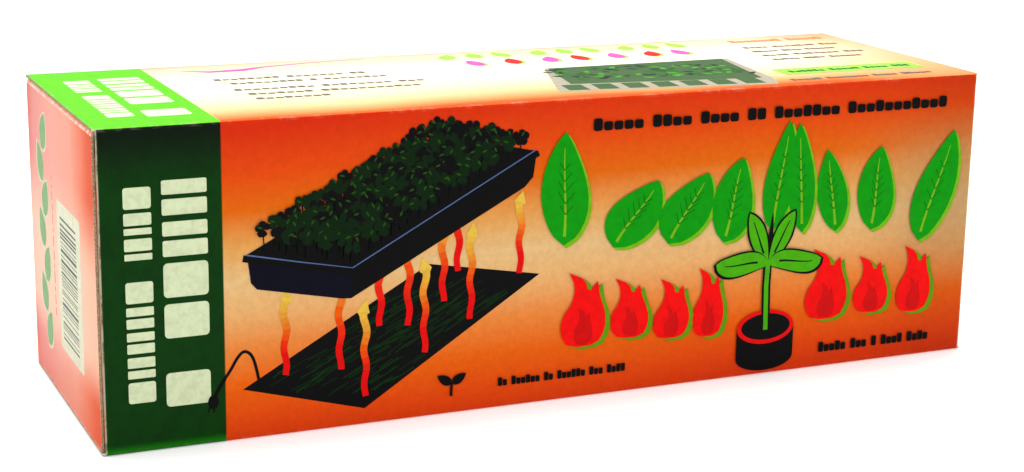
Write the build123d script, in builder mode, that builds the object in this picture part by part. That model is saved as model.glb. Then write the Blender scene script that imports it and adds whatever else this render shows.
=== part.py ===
"""Seedling heat mat, packed: a rolled 229 x 495 mm soft heat mat with its cord hank
and plug, inside a closed tuck-end carton of solid board.

Millimetres. X runs along the carton (left end is -X), the front panel is at -Y,
+Z is up, and the carton stands on its bottom panel at z = 0.

Left end: closure hinged on the bottom panel, its tongue tucked in under the top
panel. Right end: the reverse, closure hinged on the top panel. Each end has two
dust flaps hinged on the front and back panels. The mat roll is drawn out of the
right end.
"""
import os
from math import cos, sin, pi, radians, sqrt

from build123d import *

os.makedirs("parts", exist_ok=True)

# ---------------------------------------------------------------- dimensions
L = 275.0            # carton length
D = 90.0             # carton depth
H = 89.0             # carton height
T = 0.7              # board thickness
G = 0.15             # clearance between folded layers
RO = 1.2             # outside radius of the long creases
RI = RO - T          # inside radius of the long creases
XE = L / 2 - T - G   # end of the front and back panels, and dust-flap fold line

CLOSURE_SIDE = 1.3   # closure is cut this much narrower at each side
TONGUE = 20.0        # tuck tongue length
TUCK_GAP = 0.5       # tongue to panel clearance
RF = H - T - TUCK_GAP  # radius of the tongue about the closure's hinge line
DUST = 24.0          # dust flap depth
GLUE = 15.0          # glue flap width

MAT_W = 228.6        # mat width, along the roll (9 in)
MAT_L = 495.3        # mat length, rolled up (19.5 in)
MAT_T = 2.1          # thickness of the laminate
PITCH = 2.4          # radial pitch of the turns
R0 = 29.6            # mid-plane radius of the outer half turn
ZC = T + 0.3 + 30.45 # height of the roll's axis
X0 = -135.0          # left end of the roll
XR = X0 + MAT_W      # right end of the roll
XM = X0 + MAT_W / 2  # middle of the roll

CORD = 5.0           # cord diameter
WIRE = 0.6           # heating wire diameter

# ---------------------------------------------------------------- carton walls
# Each wall carries half of each long crease, split on the diagonal.
HALF = 45.0

with BuildPart() as front_panel:
    with BuildSketch(Plane.YZ.offset(-XE)):
        with BuildLine():
            c1 = (-D / 2 + RO, H - RO)
            c0 = (-D / 2 + RO, RO)
            Line((-D / 2, RO), (-D / 2, H - RO))
            a = CenterArc(c1, RO, 180, -HALF)
            b = CenterArc(c1, RI, 180 - HALF, HALF)
            Line(a @ 1, b @ 0)
            Line(b @ 1, (-D / 2 + T, RO))
            c = CenterArc(c0, RI, 180, HALF)
            d = CenterArc(c0, RO, 180 + HALF, -HALF)
            Line(c @ 1, d @ 0)
        make_face()
    extrude(amount=2 * XE)

with BuildPart() as back_panel:
    with BuildSketch(Plane.YZ.offset(-XE)):
        with BuildLine():
            c1 = (D / 2 - RO, H - RO)
            c0 = (D / 2 - RO, RO)
            Line((D / 2, RO), (D / 2, H - RO))
            a = CenterArc(c1, RO, 0, HALF)
            b = CenterArc(c1, RI, HALF, -HALF)
            Line(a @ 1, b @ 0)
            Line(b @ 1, (D / 2 - T, RO))
            c = CenterArc(c0, RI, 0, -HALF)
            d = CenterArc(c0, RO, -HALF, HALF)
            Line(c @ 1, d @ 0)
        make_face()
    extrude(amount=2 * XE)

with BuildPart() as top_panel:
    with BuildSketch(Plane.YZ.offset(-L / 2)):
        with BuildLine():
            c1 = (-D / 2 + RO, H - RO)
            c0 = (D / 2 - RO, H - RO)
            Line((-D / 2 + RO, H), (D / 2 - RO, H))
            a = CenterArc(c0, RO, 90, -HALF)
            b = CenterArc(c0, RI, 90 - HALF, HALF)
            Line(a @ 1, b @ 0)
            Line(b @ 1, (-D / 2 + RO, H - T))
            c = CenterArc(c1, RI, 90, HALF)
            d = CenterArc(c1, RO, 90 + HALF, -HALF)
            Line(c @ 1, d @ 0)
        make_face()
    extrude(amount=L)
    # the closure's crease, at the right end only
    fillet(
        top_panel.edges().filter_by(Axis.Y).group_by(Axis.Z)[-1].sort_by(Axis.X)[-1],
        T - 0.1,
    )

with BuildPart() as bottom_panel:
    with BuildSketch(Plane.YZ.offset(-L / 2)):
        with BuildLine():
            c1 = (-D / 2 + RO, RO)
            c0 = (D / 2 - RO, RO)
            Line((-D / 2 + RO, 0), (D / 2 - RO, 0))
            a = CenterArc(c0, RO, -90, HALF)
            b = CenterArc(c0, RI, -90 + HALF, -HALF)
            Line(a @ 1, b @ 0)
            Line(b @ 1, (-D / 2 + RO, T))
            c = CenterArc(c1, RI, -90, -HALF)
            d = CenterArc(c1, RO, -90 - HALF, HALF)
            Line(c @ 1, d @ 0)
        make_face()
    extrude(amount=L)
    # the closure's crease, at the left end only
    fillet(
        bottom_panel.edges().filter_by(Axis.Y).group_by(Axis.Z)[0].sort_by(Axis.X)[0],
        T - 0.1,
    )

# Maker's joint: the glue flap is folded up from the bottom panel and is bonded to
# the inside of the back panel.
with BuildPart() as glue_flap:
    with BuildSketch(Plane.XZ.offset(-(D / 2 - T))):
        with BuildLine():
            Polyline(
                (-124, RO),
                (124, RO),
                (116, RO + GLUE),
                (-116, RO + GLUE),
                close=True,
            )
        make_face()
    extrude(amount=T)


# ---------------------------------------------------------------- end flaps
def end(x, z, side):
    """A point of the left end, or its twin at the right end, turned over."""
    return (x, z) if side == "left" else (-x, H - z)


def arc_mid(u0, u1):
    """Middle point of the tongue's outer arc between two depths."""
    u = (u0 + u1) / 2
    return u, sqrt(RF * RF - u * u)


Z1 = sqrt(RF * RF - 1.0)               # tongue's outer face one millimetre in
ZT = sqrt(RF * RF - TONGUE * TONGUE)   # and at its tip
RB = RF - T                            # tongue's inner face
ZB1 = sqrt(RB * RB - 1.0)
ZBT = sqrt(RB * RB - TONGUE * TONGUE)
YS = D / 2 - CLOSURE_SIDE              # closure half width

with BuildPart() as left_closure:
    with BuildSketch(Plane.YZ.offset(-L / 2)):
        with Locations((0, (T + G + Z1 - 1.0) / 2)):
            Rectangle(2 * YS, Z1 - 1.0 - T - G)
    extrude(amount=T)

with BuildPart() as right_closure:
    with BuildSketch(Plane.YZ.offset(L / 2 - T)):
        with Locations((0, H - (T + G + Z1 - 1.0) / 2)):
            Rectangle(2 * YS, Z1 - 1.0 - T - G)
    extrude(amount=T)

# Tuck tongues: a tight fold, then a panel that bows to the arc about the closure's
# hinge line, so that it draws out clear of the panel it sits against.
with BuildPart() as left_tuck_tongue:
    with BuildSketch(Plane.XZ.offset(-YS)):
        with BuildLine():
            e = lambda u, z: end(-L / 2 + u, z, "left")
            ThreePointArc(e(0, Z1 - 1.0), e(1 - cos(radians(45)), Z1 - 1 + sin(radians(45))), e(1, Z1))
            m = arc_mid(1, TONGUE)
            ThreePointArc(e(1, Z1), e(*m), e(TONGUE, ZT))
            Line(e(TONGUE, ZT), e(TONGUE, ZBT))
            mb = (1 + TONGUE) / 2
            ThreePointArc(e(TONGUE, ZBT), e(mb, sqrt(RB * RB - mb * mb)), e(1, ZB1))
            r = 0.3
            ThreePointArc(e(1, ZB1), e(1 - r * sin(radians(45)) + 0.0, ZB1 - r + r * cos(radians(45))), e(T, ZB1 - r))
            Line(e(T, ZB1 - r), e(T, Z1 - 1.0))
            Line(e(T, Z1 - 1.0), e(0, Z1 - 1.0))
        make_face()
    extrude(amount=2 * YS)
    with BuildSketch(Plane.XY.offset(H)):
        with BuildLine():
            Polyline(
                (-L / 2, -YS),
                (-L / 2 + 6, -YS),
                (-L / 2 + 7.5, -YS + 0.8),
                (-L / 2 + 12, -YS + 1.6),
                (-L / 2 + TONGUE - 3, -YS + 6),
                (-L / 2 + TONGUE, -YS + 12),
                (-L / 2 + TONGUE, YS - 12),
                (-L / 2 + TONGUE - 3, YS - 6),
                (-L / 2 + 12, YS - 1.6),
                (-L / 2 + 7.5, YS - 0.8),
                (-L / 2 + 6, YS),
                (-L / 2, YS),
                close=True,
            )
        make_face()
        with Locations((-L / 2 + 1.9, YS - 3.0), (-L / 2 + 1.9, -YS + 3.0)):
            Rectangle(0.8, 6.4, mode=Mode.SUBTRACT)
    extrude(amount=-H, mode=Mode.INTERSECT)

with BuildPart() as right_tuck_tongue:
    with BuildSketch(Plane.XZ.offset(-YS)):
        with BuildLine():
            e = lambda u, z: end(-L / 2 + u, z, "right")
            ThreePointArc(e(0, Z1 - 1.0), e(1 - cos(radians(45)), Z1 - 1 + sin(radians(45))), e(1, Z1))
            m = arc_mid(1, TONGUE)
            ThreePointArc(e(1, Z1), e(*m), e(TONGUE, ZT))
            Line(e(TONGUE, ZT), e(TONGUE, ZBT))
            mb = (1 + TONGUE) / 2
            ThreePointArc(e(TONGUE, ZBT), e(mb, sqrt(RB * RB - mb * mb)), e(1, ZB1))
            r = 0.3
            ThreePointArc(e(1, ZB1), e(1 - r * sin(radians(45)) + 0.0, ZB1 - r + r * cos(radians(45))), e(T, ZB1 - r))
            Line(e(T, ZB1 - r), e(T, Z1 - 1.0))
            Line(e(T, Z1 - 1.0), e(0, Z1 - 1.0))
        make_face()
    extrude(amount=2 * YS)
    with BuildSketch(Plane.XY.offset(H)):
        with BuildLine():
            Polyline(
                (L / 2, -YS),
                (L / 2 - 6, -YS),
                (L / 2 - 7.5, -YS + 0.8),
                (L / 2 - 12, -YS + 1.6),
                (L / 2 - TONGUE + 3, -YS + 6),
                (L / 2 - TONGUE, -YS + 12),
                (L / 2 - TONGUE, YS - 12),
                (L / 2 - TONGUE + 3, YS - 6),
                (L / 2 - 12, YS - 1.6),
                (L / 2 - 7.5, YS - 0.8),
                (L / 2 - 6, YS),
                (L / 2, YS),
                close=True,
            )
        make_face()
        with Locations((L / 2 - 1.9, YS - 3.0), (L / 2 - 1.9, -YS + 3.0)):
            Rectangle(0.8, 6.4, mode=Mode.SUBTRACT)
    extrude(amount=-H, mode=Mode.INTERSECT)


def dust_outline(sy, side):
    """Dust flap outline in Y and Z. The edge by the closure's hinge is mitred, so the
    flap follows the closure out; the edge by the tongue has a relief at the fold."""
    q0 = T + G
    pts = [
        (q0, 3.4),
        (2.0, 4.6),
        (DUST, 4.6 + (DUST - 2.0) * 1.06),
        (DUST, H - 3.0),
        (7.0, H - 3.0),
        (3.4, H - 7.6),
        (q0, H - 7.6),
    ]
    out = []
    for q, z in pts:
        y = sy * (D / 2 - q)
        out.append((y, z if side == "left" else H - z))
    return out


with BuildPart() as left_front_dust_flap:
    with BuildSketch(Plane.YZ.offset(-XE)):
        with BuildLine():
            Polyline(*dust_outline(-1, "left"), close=True)
        make_face()
        fillet(vertices().sort_by(Axis.X)[-2:], 4.0)
    extrude(amount=T)

with BuildPart() as left_rear_dust_flap:
    with BuildSketch(Plane.YZ.offset(-XE)):
        with BuildLine():
            Polyline(*dust_outline(1, "left"), close=True)
        make_face()
        fillet(vertices().sort_by(Axis.X)[:2], 4.0)
    extrude(amount=T)

with BuildPart() as right_front_dust_flap:
    with BuildSketch(Plane.YZ.offset(XE - T)):
        with BuildLine():
            Polyline(*dust_outline(-1, "right"), close=True)
        make_face()
        fillet(vertices().sort_by(Axis.X)[-2:], 4.0)
    extrude(amount=T)

with BuildPart() as right_rear_dust_flap:
    with BuildSketch(Plane.YZ.offset(XE - T)):
        with BuildLine():
            Polyline(*dust_outline(1, "right"), close=True)
        make_face()
        fillet(vertices().sort_by(Axis.X)[:2], 4.0)
    extrude(amount=T)

# ---------------------------------------------------------------- the mat roll
# The spiral is half circles of falling radius, centred in turn on the axis and half
# a pitch to one side, so that it is smooth where they meet.
RADII = [R0 - k * PITCH / 2 for k in range(6)]
CENTRES = [0.0 if k % 2 == 0 else -PITCH / 2 for k in range(6)]
STARTS = [0.0 if k % 2 == 0 else 180.0 for k in range(6)]
used = sum(pi * r for r in RADII[:5])
LAST = (MAT_L - used) / RADII[5] * 180 / pi      # sweep of the innermost arc
SWEEPS = [180.0] * 5 + [LAST]
print("innermost arc sweep, degrees:", round(LAST, 1))


def spans(s0, s1):
    """The arcs between two distances along the mat: index, start angle, sweep."""
    out, s = [], 0.0
    for k in range(6):
        n = radians(SWEEPS[k]) * RADII[k]
        a, b = max(s0, s), min(s1, s + n)
        if b - a > 1e-6:
            out.append((k, STARTS[k] + (a - s) / RADII[k] * 180 / pi,
                        (b - a) / RADII[k] * 180 / pi))
        s += n
    return out


def at(s):
    """Centre Y, mid radius and angle in radians at a distance along the mat."""
    k, a, _ = spans(s, s + 0.01)[0]
    return CENTRES[k], RADII[k], radians(a)


SEAL = 5.0           # width of the welded edge
TOP0, TOP1 = 0.55, 1.05
FOIL0, FOIL1 = 0.40, 0.55
CAR0, CAR1 = -0.55, -0.30
BOT0, BOT1 = -1.05, -0.55

with BuildPart() as mat_top_sheet:
    with BuildSketch(Plane.YZ.offset(X0)):
        with BuildLine():
            outer = [CenterArc((CENTRES[k], ZC), RADII[k] + TOP1, a, w) for k, a, w in spans(0, MAT_L)]
            inner = [CenterArc((CENTRES[k], ZC), RADII[k] + TOP0, a, w) for k, a, w in spans(0, MAT_L)]
            Line(outer[0] @ 0, inner[0] @ 0)
            Line(outer[-1] @ 1, inner[-1] @ 1)
        make_face()
    extrude(amount=MAT_W)

with BuildPart() as mat_bottom_sheet:
    with BuildSketch(Plane.YZ.offset(X0)):
        with BuildLine():
            outer = [CenterArc((CENTRES[k], ZC), RADII[k] + BOT1, a, w) for k, a, w in spans(0, MAT_L)]
            inner = [CenterArc((CENTRES[k], ZC), RADII[k] + BOT0, a, w) for k, a, w in spans(0, MAT_L)]
            Line(outer[0] @ 0, inner[0] @ 0)
            Line(outer[-1] @ 1, inner[-1] @ 1)
        make_face()
    extrude(amount=MAT_W)

with BuildPart() as heat_spreader_foil:
    with BuildSketch(Plane.YZ.offset(X0 + SEAL)):
        with BuildLine():
            outer = [CenterArc((CENTRES[k], ZC), RADII[k] + FOIL1, a, w) for k, a, w in spans(SEAL, MAT_L - SEAL)]
            inner = [CenterArc((CENTRES[k], ZC), RADII[k] + FOIL0, a, w) for k, a, w in spans(SEAL, MAT_L - SEAL)]
            Line(outer[0] @ 0, inner[0] @ 0)
            Line(outer[-1] @ 1, inner[-1] @ 1)
        make_face()
    extrude(amount=MAT_W - 2 * SEAL)

with BuildPart() as wire_carrier_scrim:
    with BuildSketch(Plane.YZ.offset(X0 + SEAL)):
        with BuildLine():
            outer = [CenterArc((CENTRES[k], ZC), RADII[k] + CAR1, a, w) for k, a, w in spans(SEAL, MAT_L - SEAL)]
            inner = [CenterArc((CENTRES[k], ZC), RADII[k] + CAR0, a, w) for k, a, w in spans(SEAL, MAT_L - SEAL)]
            Line(outer[0] @ 0, inner[0] @ 0)
            Line(outer[-1] @ 1, inner[-1] @ 1)
        make_face()
    extrude(amount=MAT_W - 2 * SEAL)

# Welded rim: both sheets are joined by it all the way round.
with BuildPart() as edge_weld:
    with BuildSketch(Plane.YZ.offset(X0)):
        with BuildLine():
            outer = [CenterArc((CENTRES[k], ZC), RADII[k] + TOP0, a, w) for k, a, w in spans(0, MAT_L)]
            inner = [CenterArc((CENTRES[k], ZC), RADII[k] + BOT1, a, w) for k, a, w in spans(0, MAT_L)]
            Line(outer[0] @ 0, inner[0] @ 0)
            Line(outer[-1] @ 1, inner[-1] @ 1)
        make_face()
    extrude(amount=SEAL)
    with BuildSketch(Plane.YZ.offset(XR - SEAL)):
        with BuildLine():
            outer = [CenterArc((CENTRES[k], ZC), RADII[k] + TOP0, a, w) for k, a, w in spans(0, MAT_L)]
            inner = [CenterArc((CENTRES[k], ZC), RADII[k] + BOT1, a, w) for k, a, w in spans(0, MAT_L)]
            Line(outer[0] @ 0, inner[0] @ 0)
            Line(outer[-1] @ 1, inner[-1] @ 1)
        make_face()
    extrude(amount=SEAL)
    with BuildSketch(Plane.YZ.offset(X0 + SEAL)):
        with BuildLine():
            k, a, w = spans(0, SEAL)[0]
            o = CenterArc((CENTRES[k], ZC), RADII[k] + TOP0, a, w)
            i = CenterArc((CENTRES[k], ZC), RADII[k] + BOT1, a, w)
            Line(o @ 0, i @ 0)
            Line(o @ 1, i @ 1)
        make_face()
    extrude(amount=MAT_W - 2 * SEAL)
    with BuildSketch(Plane.YZ.offset(X0 + SEAL)):
        with BuildLine():
            k, a, w = spans(MAT_L - SEAL, MAT_L)[0]
            o = CenterArc((CENTRES[k], ZC), RADII[k] + TOP0, a, w)
            i = CenterArc((CENTRES[k], ZC), RADII[k] + BOT1, a, w)
            Line(o @ 0, i @ 0)
            Line(o @ 1, i @ 1)
        make_face()
    extrude(amount=MAT_W - 2 * SEAL)

# Heating wire: runs along the roll, joined at alternate ends by arcs that follow the
# turns, and one return lead along the left edge.
RUNS = 14
OFF = 0.05
XA, XB = X0 + 14.0, XR - 14.0
XRET = X0 + 9.0
S_FIRST, S_LAST = 14.0, MAT_L - 14.0
STEP_S = (S_LAST - S_FIRST) / (RUNS - 1)
with BuildPart() as heater_wire:
    for n in range(RUNS):
        x_lo = XRET if n == 0 else XA
        s_mid = S_FIRST + n * STEP_S
        with BuildSketch(Plane.YZ.offset(x_lo - WIRE / 2)):
            with BuildLine():
                k, a, w = spans(s_mid - WIRE / 2, s_mid + WIRE / 2)[0]
                o = CenterArc((CENTRES[k], ZC), RADII[k] + OFF + WIRE / 2, a, w)
                i = CenterArc((CENTRES[k], ZC), RADII[k] + OFF - WIRE / 2, a, w)
                Line(o @ 0, i @ 0)
                Line(o @ 1, i @ 1)
            make_face()
        extrude(amount=XB - x_lo + WIRE)
    for n in range(RUNS - 1):
        xx = XB if n % 2 == 0 else XA
        with BuildSketch(Plane.YZ.offset(xx - WIRE / 2)):
            with BuildLine():
                arcs = spans(S_FIRST + n * STEP_S, S_FIRST + (n + 1) * STEP_S)
                outer = [CenterArc((CENTRES[k], ZC), RADII[k] + OFF + WIRE / 2, a, w) for k, a, w in arcs]
                inner = [CenterArc((CENTRES[k], ZC), RADII[k] + OFF - WIRE / 2, a, w) for k, a, w in arcs]
                Line(outer[0] @ 0, inner[0] @ 0)
                Line(outer[-1] @ 1, inner[-1] @ 1)
            make_face()
        extrude(amount=WIRE)
    with BuildSketch(Plane.YZ.offset(XRET - WIRE / 2)):
        with BuildLine():
            arcs = spans(S_FIRST, S_LAST)
            outer = [CenterArc((CENTRES[k], ZC), RADII[k] + OFF + WIRE / 2, a, w) for k, a, w in arcs]
            inner = [CenterArc((CENTRES[k], ZC), RADII[k] + OFF - WIRE / 2, a, w) for k, a, w in arcs]
            Line(outer[0] @ 0, inner[0] @ 0)
            Line(outer[-1] @ 1, inner[-1] @ 1)
        make_face()
    extrude(amount=WIRE)

# ---------------------------------------------------------------- junction block
# It sits on the inner face of the innermost turn, by the inner end of the mat.
PHI = radians(318.0)
RIN = RADII[5] + BOT0                    # inner face of the mat there
CY5 = CENTRES[5]
NY, NZ = -cos(PHI), -sin(PHI)            # towards the axis
BX0, BX1 = X0 + 5.0, X0 + 39.0           # block, left and right faces
BW = 16.0                                # width round the roll
BASE_H, BLOCK_H = 3.2, 9.6
EXIT_H = 5.4                             # cord axis above the mat


def on_block(x, h):
    """A point at a height above the mat at the block's middle."""
    return (x, CY5 + (RIN - h) * cos(PHI), ZC + (RIN - h) * sin(PHI))


block_mid = (BX0 + BX1) / 2
BP0 = Plane(origin=on_block(block_mid, 0.0), x_dir=(1, 0, 0), z_dir=(0, NY, NZ))

with BuildPart() as junction_block_base:
    with BuildSketch(BP0.offset(-2.0)):
        RectangleRounded(BX1 - BX0, BW, 2.5)
    extrude(amount=2.0 + BASE_H)
    with BuildSketch(Plane.YZ.offset(BX0 - 2)):
        with Locations((CY5, ZC)):
            Circle(RIN)
    extrude(amount=BX1 - BX0 + 4, mode=Mode.INTERSECT)
    # pocket for the crimped joints
    with BuildSketch(BP0.offset(1.6)):
        Rectangle(BX1 - BX0 - 8, BW - 5)
    extrude(amount=BASE_H, mode=Mode.SUBTRACT)

with BuildPart() as junction_block_cover:
    with BuildSketch(BP0.offset(BASE_H)):
        RectangleRounded(BX1 - BX0, BW, 2.5)
    extrude(amount=BLOCK_H - BASE_H)
    fillet(junction_block_cover.faces().sort_by(lambda f: -(f.center() - BP0.origin).dot(BP0.z_dir))[0].edges(), 1.4)
    with BuildSketch(BP0.offset(BASE_H)):
        Rectangle(BX1 - BX0 - 8, BW - 5)
    extrude(amount=BLOCK_H - BASE_H - 1.8, mode=Mode.SUBTRACT)

# Three crimped joints between the cord's cores and the heating wire leads.
with BuildPart() as crimp_sleeves:
    for off in (-3.4, 0.0, 3.4):
        with BuildSketch(Plane(origin=on_block(BX0 + 9, 3.0), x_dir=(0, -NZ, NY), z_dir=(1, 0, 0))):
            with Locations((off, 0)):
                Circle(1.25)
                Circle(0.6, mode=Mode.SUBTRACT)
        extrude(amount=12.0)

# Tapered strain relief moulded over the cord where it leaves the block.
SRX = BX1 + 22.0
SR_P = Plane(origin=on_block(BX1, EXIT_H), x_dir=(0, -NZ, NY), z_dir=(1, 0, 0))
with BuildPart() as strain_relief:
    with BuildSketch(SR_P):
        Circle(4.0)
    with BuildSketch(SR_P.offset(22.0)):
        Circle(CORD / 2 + 0.5)
    loft()
    for i in range(4):
        with BuildSketch(SR_P.offset(4.0 + i * 4.4)):
            Circle(6)
            Circle(3.0 - i * 0.12, mode=Mode.SUBTRACT)
        extrude(amount=1.4, mode=Mode.SUBTRACT)

# ---------------------------------------------------------------- cord
HX0, HX1 = SRX + 8.0, SRX + 140.0        # hank, left and right ends
HY, HZ = -1.1, ZC + 0.25                 # its middle
HW, HH = 35.2, 30.25                     # six strands high, a ring one strand thick
exit_pt = on_block(SRX, EXIT_H)

# Outer shape of the hank, without its open middle.
with BuildPart() as hank_outer:
    with BuildSketch(Plane.XY.offset(HZ - HH / 2)):
        with Locations(((HX0 + HX1) / 2, HY)):
            SlotOverall(HX1 - HX0, HW)
    extrude(amount=HH)
    fillet(hank_outer.faces().sort_by(Axis.Z)[0].edges() + hank_outer.faces().sort_by(Axis.Z)[-1].edges(), 2.4)

with BuildPart() as cord_lead:
    with BuildSketch(SR_P.offset(22.0)):
        Circle(CORD / 2)
    extrude(amount=20.0)
    add(hank_outer.part, mode=Mode.SUBTRACT)

with BuildPart() as cord_hank:
    add(hank_outer.part)
    with BuildSketch(Plane.XY.offset(HZ - HH / 2)):
        with Locations(((HX0 + HX1) / 2, HY)):
            SlotOverall(HX1 - HX0 - 10.2, HW - 10.2)
    extrude(amount=HH, mode=Mode.SUBTRACT)

with BuildPart() as hank_tie:
    with BuildSketch(Plane.YZ.offset((HX0 + HX1) / 2 - 2)):
        with Locations((HY, HZ)):
            RectangleRounded(HW + 0.6, HH + 0.6, 2.7)
            RectangleRounded(HW, HH, 2.4, mode=Mode.SUBTRACT)
    extrude(amount=4.0)
    with BuildSketch(Plane.XY.offset(HZ + HH / 2 + 0.3)):
        with Locations(((HX0 + HX1) / 2, HY)):
            Rectangle(2.4, 2.4)
    extrude(amount=0.9)

# Plug at the far end of the cord: moulded body, two blades and an earth pin.
PY, PZ = -0.6, HZ - 7.575
PX0 = HX1 + 8.0
with BuildPart() as plug_lead:
    with BuildSketch(Plane.YZ.offset(HX1 - 6)):
        with Locations((PY, PZ)):
            Circle(CORD / 2)
    extrude(amount=14.0)
    add(hank_outer.part, mode=Mode.SUBTRACT)

with BuildPart() as plug_body:
    with BuildSketch(Plane.YZ.offset(PX0)):
        with Locations((PY, PZ)):
            RectangleRounded(9.0, 8.0, 3.5)
    with BuildSketch(Plane.YZ.offset(PX0 + 10)):
        with Locations((PY, PZ)):
            RectangleRounded(17.0, 14.0, 5.0)
    with BuildSketch(Plane.YZ.offset(PX0 + 17)):
        with Locations((PY, PZ)):
            RectangleRounded(23.0, 18.0, 6.0)
    loft()
    with BuildSketch(Plane.YZ.offset(PX0 + 17)):
        with Locations((PY, PZ)):
            RectangleRounded(23.0, 18.0, 6.0)
    extrude(amount=8.0)
    fillet(plug_body.faces().sort_by(Axis.X)[-1].edges(), 0.8)

with BuildPart() as plug_blades:
    with BuildSketch(Plane.YZ.offset(PX0 + 25)):
        with Locations((PY - 6.35, PZ + 2.5), (PY + 6.35, PZ + 2.5)):
            Rectangle(1.5, 6.35)
    extrude(amount=15.5)
    chamfer(plug_blades.faces().sort_by(Axis.X)[-2:].edges(), 0.4)
    with BuildSketch(Plane.XZ.offset(10)):
        with Locations((PX0 + 25 + 11.5, PZ + 2.5)):
            Circle(1.6)
    extrude(amount=-30, mode=Mode.SUBTRACT)

with BuildPart() as plug_earth_pin:
    with BuildSketch(Plane.YZ.offset(PX0 + 25)):
        with Locations((PY, PZ - 5.6)):
            Circle(2.3)
    extrude(amount=18.0)
    fillet(plug_earth_pin.faces().sort_by(Axis.X)[-1].edges(), 1.6)

# Care tag folded round the short length of cord behind the plug.
with BuildPart() as cord_tag:
    with BuildSketch(Plane.YZ.offset(HX1 + 2.6)):
        with Locations((PY, PZ)):
            Circle(CORD / 2 + 0.35)
        with Locations((PY, PZ + CORD / 2 + 6.5)):
            Rectangle(0.7, 13.4)
        with Locations((PY, PZ)):
            Circle(CORD / 2, mode=Mode.SUBTRACT)
    extrude(amount=2.8)

# ---------------------------------------------------------------- bands, leaflet
BAND_IN, BAND_T, BAND_W = 31.25, 0.8, 6.0
LOW_R = RADII[1] + TOP1
b22 = radians(-22)


with BuildPart() as roll_band_left:
    with BuildSketch(Plane.YZ.offset(XM - 62 - BAND_W / 2)):
        with BuildLine():
            o = CenterArc((0, ZC), BAND_IN + BAND_T, 0, 180)
            i = CenterArc((0, ZC), BAND_IN, 0, 180)
            Line(o @ 0, i @ 0)
            Line(o @ 1, i @ 1)
        make_face()
        with BuildLine():
            o = CenterArc((CENTRES[1], ZC), LOW_R + BAND_T, 180, 158)
            i = CenterArc((CENTRES[1], ZC), LOW_R, 180, 158)
            Line(o @ 0, i @ 0)
            Line(o @ 1, i @ 1)
        make_face()
        with BuildLine():
            Polyline(
                (BAND_IN + BAND_T, ZC), (BAND_IN, ZC), i @ 1, o @ 1, close=True
            )
        make_face()
    extrude(amount=BAND_W)

with BuildPart() as roll_band_right:
    with BuildSketch(Plane.YZ.offset(XM + 62 - BAND_W / 2)):
        with BuildLine():
            o = CenterArc((0, ZC), BAND_IN + BAND_T, 0, 180)
            i = CenterArc((0, ZC), BAND_IN, 0, 180)
            Line(o @ 0, i @ 0)
            Line(o @ 1, i @ 1)
        make_face()
        with BuildLine():
            o = CenterArc((CENTRES[1], ZC), LOW_R + BAND_T, 180, 158)
            i = CenterArc((CENTRES[1], ZC), LOW_R, 180, 158)
            Line(o @ 0, i @ 0)
            Line(o @ 1, i @ 1)
        make_face()
        with BuildLine():
            Polyline(
                (BAND_IN + BAND_T, ZC), (BAND_IN, ZC), i @ 1, o @ 1, close=True
            )
        make_face()
    extrude(amount=BAND_W)

# Folded instruction leaflet, held to the roll by the two bands.
with BuildPart() as leaflet:
    with BuildSketch(Plane.YZ.offset(XM - 72)):
        with BuildLine():
            o = CenterArc((0, ZC), 31.25, 45, 90)
            i = CenterArc((0, ZC), 30.65, 45, 90)
            Line(o @ 0, i @ 0)
            Line(o @ 1, i @ 1)
        make_face()
    extrude(amount=144)

# ---------------------------------------------------------------- export
front_panel.part.label = "front_panel"
back_panel.part.label = "back_panel"
top_panel.part.label = "top_panel"
bottom_panel.part.label = "bottom_panel"
glue_flap.part.label = "glue_flap"
left_closure.part.label = "left_closure"
left_tuck_tongue.part.label = "left_tuck_tongue"
left_front_dust_flap.part.label = "left_front_dust_flap"
left_rear_dust_flap.part.label = "left_rear_dust_flap"
right_closure.part.label = "right_closure"
right_tuck_tongue.part.label = "right_tuck_tongue"
right_front_dust_flap.part.label = "right_front_dust_flap"
right_rear_dust_flap.part.label = "right_rear_dust_flap"
mat_top_sheet.part.label = "mat_top_sheet"
mat_bottom_sheet.part.label = "mat_bottom_sheet"
heat_spreader_foil.part.label = "heat_spreader_foil"
wire_carrier_scrim.part.label = "wire_carrier_scrim"
edge_weld.part.label = "edge_weld"
heater_wire.part.label = "heater_wire"
junction_block_base.part.label = "junction_block_base"
junction_block_cover.part.label = "junction_block_cover"
crimp_sleeves.part.label = "crimp_sleeves"
strain_relief.part.label = "strain_relief"
cord_lead.part.label = "cord_lead"
cord_hank.part.label = "cord_hank"
hank_tie.part.label = "hank_tie"
plug_lead.part.label = "plug_lead"
plug_body.part.label = "plug_body"
plug_blades.part.label = "plug_blades"
plug_earth_pin.part.label = "plug_earth_pin"
cord_tag.part.label = "cord_tag"
roll_band_left.part.label = "roll_band_left"
roll_band_right.part.label = "roll_band_right"
leaflet.part.label = "leaflet"

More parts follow.
